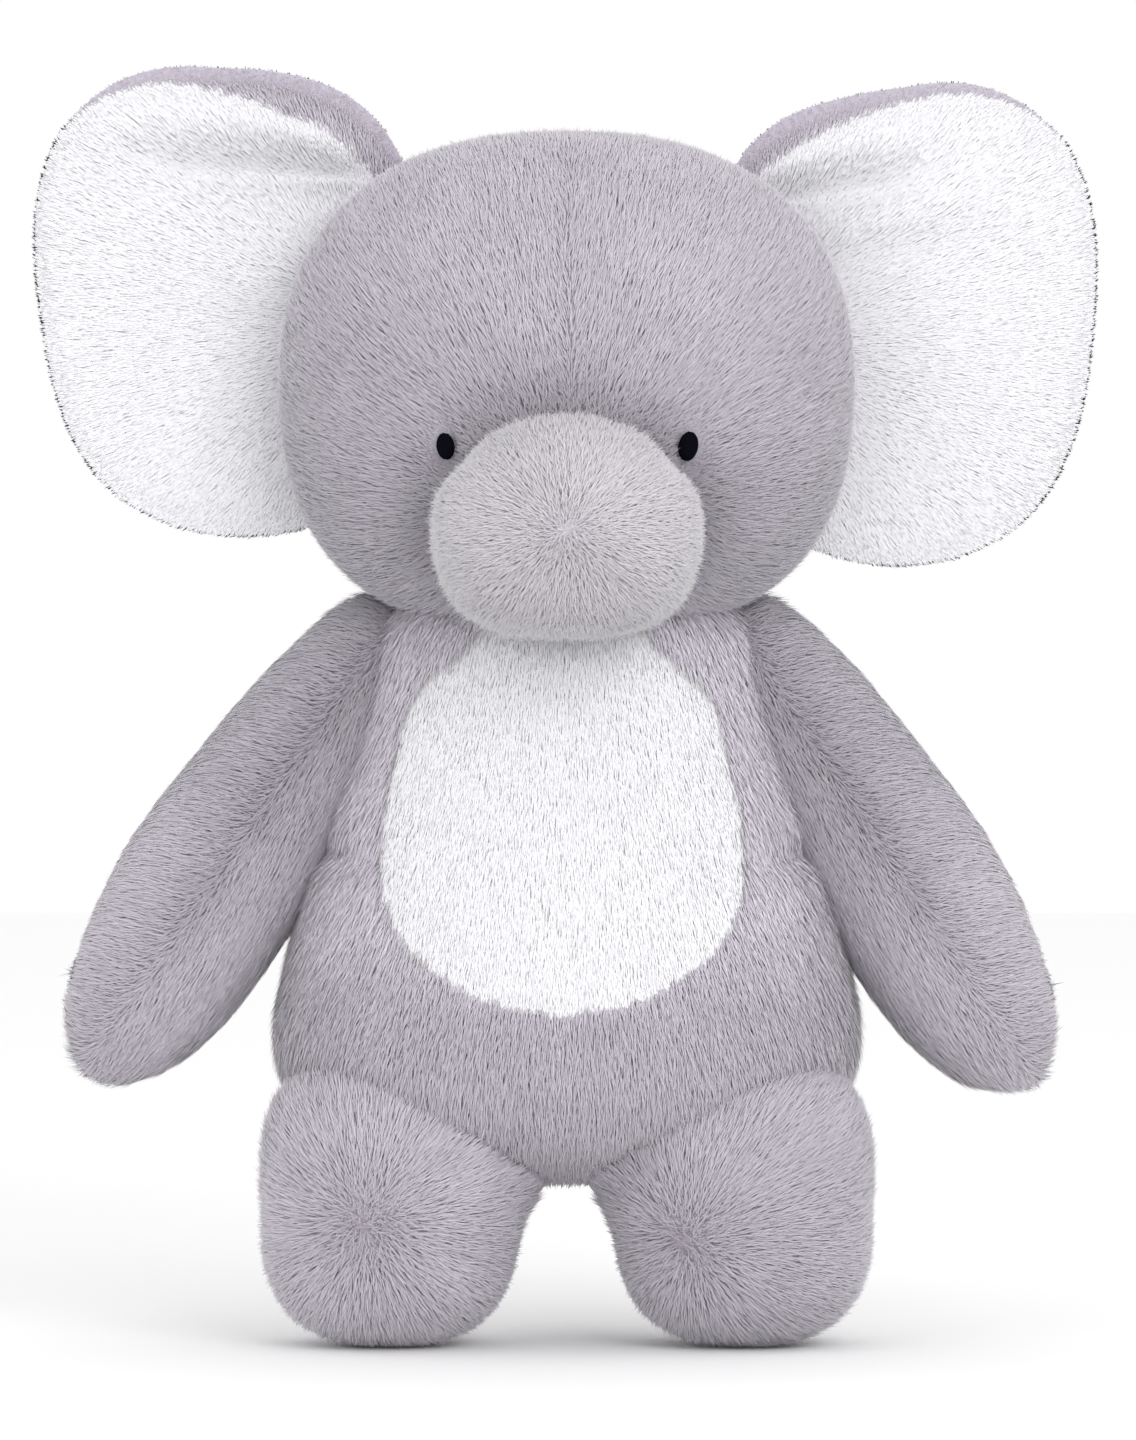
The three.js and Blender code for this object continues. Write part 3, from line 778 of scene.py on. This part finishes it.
for side, own, half, tilt in EYES:
    points, faces = pillow((0, 0, 0), half, 2, rings=90, spokes=28)
    ridge = np.abs(np.sin(np.pi * (points[:, 2] + THREAD_SLANT * points[:, 0]) / THREAD_PITCH))
    points *= (1 + THREAD_SWELL * (ridge - 0.5))[:, None]
    points[:, 1] *= EYE_FLATNESS
    turn = side * EYE_TURN
    sideways, backwards = [np.cos(turn), np.sin(turn), 0], [-np.sin(turn), np.cos(turn), 0]
    upwards = [np.sin(tilt), 0, np.cos(tilt)]
    turned_eye = points[:, :1] * sideways + points[:, 1:2] * backwards + points[:, 2:] * upwards
    eye_place = [side * EYE_X, face_y(EYE_X, EYE_Z) + EYE_LIFT, EYE_Z]
    eye = new_piece(f"eye_{own}_stitched", [(turned_eye + eye_place, faces)])
    eye.data.materials.append(thread_black)
    shade_smooth(eye.data)
    finished(eye, "head", [f"eye_{own}"])
print("eyes stitched")

# %% [markdown]
# ## The trunk
# A short rounded trunk of a paler plush. Its pile is brushed from the tip, where a short seam
# ends, back to the face, and its last hairs lie over the hair of the head.

# %% Trunk skin and pile
TRUNK_JOWL = 1.4
TRUNK_PILE = {"Length": 0.0048, "Width": 0.00028, "Hairs Per Square Metre": 5.0e6,
              "Rise": 0.34, "Scatter": 0.3, "Tuft Scatter": 0.4}
TRUNK_TIP = np.array([0, -104, 223.0])

trunk = new_piece("trunk_plush", [
    pillow(TRUNK_CENTRE, TRUNK_HALF - PILE_ROOM - TRUNK_SWELL_ROOM, TRUNK_SQUARENESS, TRUNK_JOWL)])
stuffed(trunk)
trunk.data.materials.append(pale_backing)
where = in_millimetres(trunk.data)
from_tip = rise_between(np.linalg.norm(where - TRUNK_TIP, axis=1), 2, 18)
near_face = rise_between(where[:, 1], -88, -64)
near_eye = 1 - rise_between(np.hypot(np.abs(where[:, 0]) - EYE_X, where[:, 2] - EYE_Z), 7, 13)
# Painted shade on the trunk's underside: its colour is darker low down.
dressed(trunk.data, where - TRUNK_TIP, strength=(0.35 + 0.65 * from_tip) * (1 - 0.5 * near_face),
        reach=1 - 0.5 * near_eye, nap=0.87 + 0.12 * rise_between(where[:, 2], 198, 232))
for own, side_part, seed in (("left", where[:, 0] >= 0, 31), ("right", where[:, 0] < 0, 32)):
    mask = (head_level(where) > UNDER_HEAD) & side_part
    pile = plant(f"trunk_pile_{own}", trunk, pale_pile, mask, TRUNK_PILE, seed)
    finished(pile, "head", [f"trunk_{own}"])
finished(trunk, "head", ["trunk_filling"])

# %% [markdown]
# ## The body
# The body is a tall pear, flatter from front to back, of four gray panels and a white belly
# patch. All of it is brushed downwards. One skin carries both colours, and a mask inside the
# patch's outline says which cloth each hair belongs to.

# %% Body skin and pile
WHITE_PILE = {"Length": 0.0046, "Width": 0.00046, "Hairs Per Square Metre": 4.0e6,
              "Rise": 0.10, "Scatter": 0.05, "Tuft Scatter": 0.04}
# The patch's outline on the skin, half width and height. Its hairs hang a little past it.
PATCH_SIDE = [[0, 94], [20, 97], [38, 108], [45.5, 117], [49, 130], [48, 147],
              [44.5, 163], [42.5, 174], [37, 184], [28, 191], [20, 200]]
PATCH_SHIFT = -1.2  # it sits a little towards the right arm


def patch_half_width(height):
    curve = smooth_profile(PATCH_SIDE, 80)
    return np.interp(height, curve[:, 1], curve[:, 0], left=0, right=30)


# The skin's shoulders are fuller than the panels: the pile there fills the crook of the neck.
SKIN_PROFILE = [[46, 0], [47.5, 24], [51, 43], [57, 61.5], [66, 75.5], [77, 81], [90, 81.5],
                [108, 77.5], [130, 72], [150, 66], [168, 60], [180, 57], [190, 55], [198, 52.5],
                [204, 46], [208, 30], [209, 0]]
body_skin_profile = smooth_profile(SKIN_PROFILE)
body_skin_profile[:, 1] = np.maximum(body_skin_profile[:, 1] - PILE_ROOM - SWELL_ROOM, 0)
body = new_piece("body_plush", [turned_form(body_skin_profile, BODY_DEPTH)])
stuffed(body)
body.data.materials.append(gray_backing)
where = in_millimetres(body.data)
# A shallow crease runs in from under each arm.
CREASE_X, CREASE_Z, CREASE_DEPTH = 63.0, 136.0, 2.5
across_crease, up_crease = (np.abs(where[:, 0]) - CREASE_X) / 11, (where[:, 2] - CREASE_Z) / 4.5
dent = np.exp(-across_crease ** 2 - up_crease ** 2) * (where[:, 1] < 0)
inwards = -normals_of(body.data) * (dent * CREASE_DEPTH * MM)[:, None]
move_points(body.data, coordinates_of(body.data) + inwards)
inside_patch = patch_half_width(where[:, 2]) - np.abs(where[:, 0] - PATCH_SHIFT)
white = (inside_patch > 0) & (where[:, 1] < 0)
store(body.data, "white", white)
at_foot = (np.hypot(where[:, 0], where[:, 1]) < 9) & (where[:, 2] < 60)  # the hairs meet there
down_and_out = np.column_stack([where[:, 0] * 0.004, np.zeros(len(where)), -np.ones(len(where))])
# Painted light on the gray of the upper body, where the head and arms shade it; the white patch has none.
dressed(body.data, down_and_out, reach=1 - 0.6 * at_foot,
        nap=np.where(white, 1.0, 0.97 + 0.29 * rise_between(where[:, 2], 90, 125)))


# 1 stands for the elephant's left side and -1 for its right.
ARM_SHOULDER = {1: np.array([57, 0, 183.0]), -1: np.array([-58, 0, 184.0])}
ARM_FLATNESS = 0.84
ARM_HANG = {1: np.radians(33.0), -1: np.radians(34.5)}  # the left arm hangs a little closer
ARM_PROFILE = [[-24, 0], [-21, 8.5], [-16, 13], [-9, 16], [0, 18.3], [11, 20.6], [22, 22.2], [45, 24.2],
               [67, 25.6], [87, 24.8], [101, 22.8], [115, 18.8], [124, 13.5], [130, 6], [131, 0]]


def arm_axes(side):
    """Along the arm, and out across it, as seen from the front."""
    hang = ARM_HANG[side]
    along_arm = np.array([side * np.sin(hang), 0, -np.cos(hang)])
    across = np.array([side * np.cos(hang), 0, np.sin(hang)])
    return along_arm, across


def arm_level(points, side):
    along_arm, across = arm_axes(side)
    rel = points - ARM_SHOULDER[side]
    profile = np.array(ARM_PROFILE)
    half = np.interp(rel @ along_arm, profile[:, 0], profile[:, 1], left=0, right=0)
    half = np.maximum(half - PILE_ROOM, 1)
    return np.hypot(rel @ across / half, rel[:, 1] / (half * ARM_FLATNESS))


# A leg's hip, foot, thigh, and the groin that rounds the arch between the legs: each form's
# middle, half sizes and squareness.
LEG_FORMS = [((47.5, 0, 45), (34, 34.5, 34), 2.0), ((48.7, -8, 31), (35.8, 38, 32), 2.5),
             ((47, -13, 49), (37.5, 36, 33), 2.8), ((22, -10, 50.5), (21.5, 30, 15.5), 2.0)]


def leg_level(points, side):
    mirrored = points * [side, 1, 1]
    return np.min([level(mirrored, np.array(centre, float), np.array(half) - PILE_ROOM, power)
                   for centre, half, power in LEG_FORMS], axis=0)


limb_level = np.min([np.minimum(arm_level(where, side), leg_level(where, side)) for side in (1, -1)], axis=0)
free = (limb_level > BODY_UNDER_LIMBS) & (head_level(where) > UNDER_HEAD)
front, on_left = where[:, 1] < 0, where[:, 0] >= 0
BODY_PARTS = [("body_pile_front_left", gray_pile, ~white & front & on_left, "gray_plush", "body_front_left"),
              ("body_pile_front_right", gray_pile, ~white & front & ~on_left, "gray_plush", "body_front_right"),
              ("body_pile_back_left", gray_pile, ~front & on_left, "gray_plush", "body_back_left"),
              ("body_pile_back_right", gray_pile, ~front & ~on_left, "gray_plush", "body_back_right"),
              ("belly_pile", white_pile, white, "white_plush", "belly_patch")]
for seed, (name, cloth, mask, slot, node) in enumerate(BODY_PARTS, 41):
    settings = WHITE_PILE if cloth is white_pile else BACK_PILE if "back" in name else {}
    finished(plant(name, body, cloth, free & mask, settings, seed), "torso", [node])
finished(body, "torso", ["body_filling"])

# %% [markdown]
# ## The arms
# Each arm is a limp flattened sausage that hangs out from the shoulder. A parting runs down its
# middle: the outer half is brushed outwards and the inner half down towards the paw. The skin is
# a little fuller than the panels, and its ends a little shorter, because its pile lies along it.

# %% Arm skins and piles
ARM_BOW = 2.5  # how far the paw turns in towards the body
ARM_FULLER = 0.6  # added to the skin's half width


def arm_form(side):
    profile = smooth_profile(ARM_PROFILE)
    profile[:, 1] = np.maximum(profile[:, 1] - PILE_ROOM + ARM_FULLER, 0)
    profile[0, 0] += PILE_ROOM
    profile[-1, 0] -= PILE_ROOM
    points, faces = turned_form(profile, ARM_FLATNESS)
    along_arm, across = arm_axes(side)
    bow = ARM_BOW * rise_between(points[:, 2:], 60, 120)
    points = points[:, 2:] * along_arm + (points[:, :1] - bow) * across + points[:, 1:2] * [0, 1, 0]
    return points + ARM_SHOULDER[side], faces


def plant_limb(limb, skin, free, in_front, front_seed, back_seed):
    """A limb's front and back piles, and its skin, all tied to the limb's own body."""
    for half, part, seed in (("front", in_front, front_seed), ("back", ~in_front, back_seed)):
        settings = BACK_PILE if half == "back" else {}
        pile = plant(f"{limb}_pile_{half}", skin, gray_pile, free & part, settings, seed)
        finished(pile, limb, [f"{limb}_{half}"])
    finished(skin, limb, [f"{limb}_filling"])


for side, own in ((1, "left"), (-1, "right")):
    arm = new_piece(f"arm_{own}_plush", [arm_form(side)])
    stuffed(arm)
    arm.data.materials.append(gray_backing)
    where = in_millimetres(arm.data)
    along_arm, across = arm_axes(side)
    out = (where - ARM_SHOULDER[side]) @ across
    outer = rise_between(out, -3, 3)[:, None]
    down = (where - ARM_SHOULDER[side]) @ along_arm
    parting = np.exp(-((out + 1) / 5) ** 2) * (1 - rise_between(down, 70, 110)) * rise_between(down, 0, 14)
    off_parting, at_rim = rise_between(np.abs(out), 0, 6), rise_between(np.abs(out), 8, 18)
    # Painted shade high on each arm, lighter towards the paw, and darker along the parting.
    dressed(arm.data, along_arm * (1 - 0.6 * outer) + across * 0.95 * outer,
            strength=(0.4 + 0.6 * off_parting) * (1 + 1.2 * at_rim),
            nap=(0.82 + 0.15 * rise_between(down, 30, 85)) * (1 - 0.13 * parting))
    free = (body_level(where) > LIMBS_UNDER_BODY) & (head_level(where) > ARMS_UNDER_HEAD)
    plant_limb(f"arm_{own}", arm, free, where[:, 1] < 0, 51 + side, 55 + side)

# %% [markdown]
# ## The legs
# A leg is short and blunt, with a round hip inside the body and a flat sole. Its pile is
# brushed away from the middle of the toe, and straight down behind.

# %% Leg skins and piles
TOES = {"left": np.array([30, -46, 29.0]), "right": np.array([-55, -46, 35.0])}
SOLE_HEIGHT = 0.0012  # the skin of the sole, in metres above the floor
# Painted shade on the left leg and painted light on the right.
LEG_PAINTED_SHADE_DIFFERENCE = 0.035  # the left leg is this much darker, and the right leg lighter

for side, own in ((1, "left"), (-1, "right")):
    forms = [pillow(np.array(centre) * [side, 1, 1], np.array(half) - PILE_ROOM - SWELL_ROOM, power)
             for centre, half, power in LEG_FORMS]
    leg = new_piece(f"leg_{own}_plush", forms)
    stuffed(leg, smoothing=10)
    flat = coordinates_of(leg.data)
    flat[:, 2] = np.maximum(flat[:, 2], SOLE_HEIGHT)
    move_points(leg.data, flat)
    leg.data.materials.append(gray_backing)
    where = in_millimetres(leg.data)
    from_toe = rise_between(np.linalg.norm(where - TOES[own], axis=1), 2, 22)
    dressed(leg.data, down_behind(where - TOES[own], where, -12, 22),
            strength=(0.15 + 0.85 * from_toe) * flatter_behind(where), nap=1.0 - LEG_PAINTED_SHADE_DIFFERENCE * side)
    free = body_level(where) > LIMBS_UNDER_BODY
    plant_limb(f"leg_{own}", leg, free, where[:, 1] < 0, 61 + side, 65 + side)

# %% [markdown]
# ## The ears
# An ear is two layers of plush with hardly any filling: a white lining in front and a gray back
# that wraps round its edge and, beside the crown, rolls forward into a broad gray band. The ear
# is cupped, and soft folds fan out from where it is gathered into the side seam of the head.

# %% Ear skins and piles
EAR_CENTRE, EAR_HALF, EAR_SQUARENESS = np.array([91.5, 9, 287.0]), np.array([53.7, 65.3]), 2.6
EAR_EDGE = 0.5  # the pile that stands out past the skin's edge
EAR_THICK = 1.7  # half the thickness
EAR_ROWS, EAR_SPOKES = 40, 208
ROLL_AT, CROWN_AT, FOOT_AT = np.radians(128), np.radians(112), np.radians(-78)
WHITE_RIM = 2.2  # the white cloth goes this far round the edge
GRAY_FROM_RIM = 3.8  # no gray hair is planted nearer to the white edge than this
GRAY_EAR_PILE = {"Length": 0.0050, "Hairs Per Square Metre": 2.6e6, "Width": 0.00038, "Rise": 0.28}
# Each ear: its side, its name, its lift in millimetres and lean in degrees, its cut (how far the
# outline is cut in by the crown, how far it is let out at the foot, how broad the rolled band is),
# and its folds. A fold runs from (out, up) to (out, up) about the ear's middle, with its depth
# and its width.
EARS = [(1, "left", -5.0, 1.0, (0.05, 0.05, 7.5),
         [((-36, 30), (8, 37), 2.6, 4.0), ((-30, 12), (26, 20), 1.8, 5.5)]),
        (-1, "right", 0.0, 4.0, (0.03, 0.0, 11.0),
         [((-38, 30), (24, 37), 3.2, 4.5), ((-20, -8), (30, -4), 0.8, 7)])]


def edge_reach(angle, cut):
    """How far out the ear's edge lies, as a share of its half sizes."""
    rounded = np.abs(np.cos(angle)) ** EAR_SQUARENESS + np.abs(np.sin(angle)) ** EAR_SQUARENESS
    rounded = rounded ** (-1 / EAR_SQUARENESS)
    at_foot = np.maximum(0, np.cos(angle - FOOT_AT)) ** 4
    by_crown = np.maximum(0, np.cos((np.mod(angle, 2 * np.pi) - CROWN_AT) * 1.2)) ** 8
    fuller_above = 0.04 * np.sin(2 * angle) * (np.cos(angle) > 0)
    return rounded * (1 - cut[0] * by_crown + cut[1] * at_foot + fuller_above)


def near_roll(angle):
    return np.maximum(0, np.cos((np.mod(angle, 2 * np.pi) - ROLL_AT) * 0.9)) ** 3


def fold_depth(out, up, folds):
    """How far back an ear is folded at a place: valleys, each with a ridge above it."""
    depth = np.zeros(len(out))
    for start, end, deep, wide in folds:
        run = np.subtract(end, start)
        share = ((out - start[0]) * run[0] + (up - start[1]) * run[1]) / (run @ run)
        above = ((up - start[1]) * run[0] - (out - start[0]) * run[1]) / np.hypot(*run)
        fade = rise_between(share, -0.1, 0.15) * (1 - rise_between(share, 0.55, 1.2))
        broad = wide * (0.7 + 0.6 * np.clip(share, 0, 1))
        valley = np.exp(-((above / broad) ** 2))
        ridge = np.exp(-(((above - 2 * broad) / (1.2 * broad)) ** 2))
        depth += deep * fade * (valley - 0.8 * ridge)
    return depth


def ear_form(folds, cut):
    """An ear about its own middle: rings from the middle of the front over the edge to the back."""
    share = np.sin(np.linspace(0.04, np.pi / 2, EAR_ROWS))
    share = np.concatenate([share, share[-2::-1]])
    face = np.concatenate([-np.ones(EAR_ROWS - 1), [0], np.ones(EAR_ROWS - 1)])
    angle = np.linspace(0, 2 * np.pi, EAR_SPOKES, endpoint=False)
    t, a = np.meshgrid(share, angle, indexing="ij")
    thick = np.repeat(face * EAR_THICK * np.sqrt(1 - share**6), EAR_SPOKES)
    t, a = t.ravel(), a.ravel()
    out = np.append(t * edge_reach(a, cut) * np.cos(a) * (EAR_HALF[0] - EAR_EDGE), [0, 0])
    up = np.append(t * edge_reach(a, cut) * np.sin(a) * (EAR_HALF[1] - EAR_EDGE), [0, 0])
    t, a, thick = np.append(t, [0, 0]), np.append(a, [0, 0]), np.append(thick, [-EAR_THICK, EAR_THICK])
    middle = 1.8 - 3.6 * t**3 - 3.0 * near_roll(a) * t**4 + fold_depth(out, up, folds)
    return np.column_stack([out, middle + thick, up]), grid_faces(2 * EAR_ROWS - 1, EAR_SPOKES)


def leaned(points, lean):
    out, up = points[:, 0], points[:, 2]
    return np.column_stack([out * np.cos(lean) + up * np.sin(lean), points[:, 1],
                            up * np.cos(lean) - out * np.sin(lean)])


def ear_to_toy(points, side, lift, lean):
    return (leaned(points, lean) + EAR_CENTRE + [0, 0, lift]) * [side, 1, 1]


def toy_to_ear(points, side, lift, lean):
    return leaned(points * [side, 1, 1] - EAR_CENTRE - [0, 0, lift], -lean)


def outward(piece):
    """Turn every face of a closed piece outwards."""
    shape = bmesh.new()
    shape.from_mesh(piece.data)
    bmesh.ops.recalc_face_normals(shape, faces=shape.faces)
    shape.to_mesh(piece.data)
    shape.free()


HINGE_MIDDLE = np.array([64, 8 + SETBACK, 279]) * MM
HINGE_ACROSS = np.array([0.958, 0, 0.285])  # square to the hinge, away from the head
BEND_BEFORE, BEND_AFTER = 0.006, 0.012  # how far the bend reaches to both sides of it, in metres

for side, own, lift, lean, cut, folds in EARS:
    lean = np.radians(lean)
    points, faces = ear_form(folds, cut)
    ear = new_piece(f"ear_{own}_plush", [(ear_to_toy(points, side, lift, lean), faces)])
    outward(ear)
    ear.data.materials.append(gray_backing)
    shade_smooth(ear.data)
    where = in_millimetres(ear.data)
    here = toy_to_ear(where, side, lift, lean)
    angle = np.arctan2(here[:, 2], here[:, 0])
    edge = edge_reach(angle, cut)
    share_out = np.hypot(here[:, 0] / (EAR_HALF[0] - EAR_EDGE), here[:, 2] / (EAR_HALF[1] - EAR_EDGE)) / edge
    from_edge = (1 - share_out) * edge * EAR_HALF.mean()
    in_front = normals_of(ear.data)[:, 1] < 0.35
    from_band = from_edge - cut[2] * near_roll(angle)
    white = (in_front | (from_edge < WHITE_RIM)) & (from_band > 0)
    store(ear.data, "white", white)
    brushed = ear_to_toy(here + [40, 0, 8], side, lift, lean) - ear_to_toy(here * 0, side, lift, lean)
    dressed(ear.data, brushed * [1, 0, 1],
            strength=np.where(white, 1.0, 0.1 + 0.9 * rise_between(from_edge, 1, 9)),
            reach=np.where(white, 0.45 + 0.55 * rise_between(from_band, 1, 9),
                           0.15 + 0.85 * rise_between(from_edge, 2, 9)))
    free = head_level(where) > EARS_UNDER_HEAD
    hinge_out = HINGE_ACROSS * [side, 1, 1]
    hinge = HINGE_MIDDLE * [side, 1, 1]
    bend = ("head", f"ear_{own}", tuple(hinge - hinge_out * BEND_BEFORE), tuple(hinge + hinge_out * BEND_AFTER))
    lining = plant(f"ear_{own}_pile_lining", ear, white_pile, free & white, WHITE_PILE, 71 + side)
    gray = free & ~white & ((from_edge > GRAY_FROM_RIM) | (from_band <= 0))
    back = plant(f"ear_{own}_pile_back", ear, gray_pile, gray, GRAY_EAR_PILE, 75 + side)
    finished(lining, None, [f"ear_{own}_lining"], bend)
    finished(back, None, [f"ear_{own}_back"], bend)
    finished(ear, None, (), bend)

# %% [markdown]
# ## The neck
# The filling runs on from the body into the head through a short neck. The same gray plush
# covers it, which shows from behind and when the head nods.

# %% Neck skin and pile
neck = new_piece("neck_plush", [pillow((0, 2, 191), (28, 25, 17), 2.2)])
stuffed(neck)
neck.data.materials.append(gray_backing)
where = in_millimetres(neck.data)
dressed(neck.data, np.tile([0, 0, -1.0], (len(where), 1)))
bare = (head_level(where) > UNDER_HEAD) & (body_level(where) > NECK_UNDER_BODY)
finished(plant("neck_pile", neck, gray_pile, bare, {}, 81), "neck")
finished(neck, "neck", ["neck_filling"])

# %% [markdown]
# ## The closing stitches
# The filling goes in through a gap in the back seam, which is then closed by hand. The CAD
# thread is already right in shape, so it only gets the look of twisted gray thread.

# %% Closing stitches
TWIST_DARK, TWIST_LIGHT = (0.22, 0.20, 0.24, 1), (0.42, 0.39, 0.45, 1)

thread_gray, thread_tree, twist_look = new_material("gray thread")
twist_look.inputs["Roughness"].default_value = 0.55
twist_look.inputs["Sheen Weight"].default_value = 0.2
twist = thread_tree.nodes.new("ShaderNodeTexWave")
twist.bands_direction = "DIAGONAL"
twist.inputs["Scale"].default_value = 900
twist.inputs["Distortion"].default_value = 1.5
twist_place = thread_tree.nodes.new("ShaderNodeTexCoord")
joined(thread_tree, twist_place.outputs["Object"], twist.inputs["Vector"])
twist_colour = mixed_colour(thread_tree, twist.outputs["Fac"], TWIST_DARK, TWIST_LIGHT)
joined(thread_tree, twist_colour, twist_look.inputs["Base Color"])
twist_bump = thread_tree.nodes.new("ShaderNodeBump")
twist_bump.inputs["Distance"].default_value = 0.0001
joined(thread_tree, twist.outputs["Fac"], twist_bump.inputs["Height"])
joined(thread_tree, twist_bump.outputs["Normal"], twist_look.inputs["Normal"])
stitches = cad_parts["closing_stitches"]
for material_slot in stitches.material_slots:
    material_slot.link = "OBJECT"
    material_slot.material = thread_gray
print("stitches:", len(stitches.data.polygons), "faces")

# %% Remove the helper hair
bpy.data.objects.remove(hair_object)
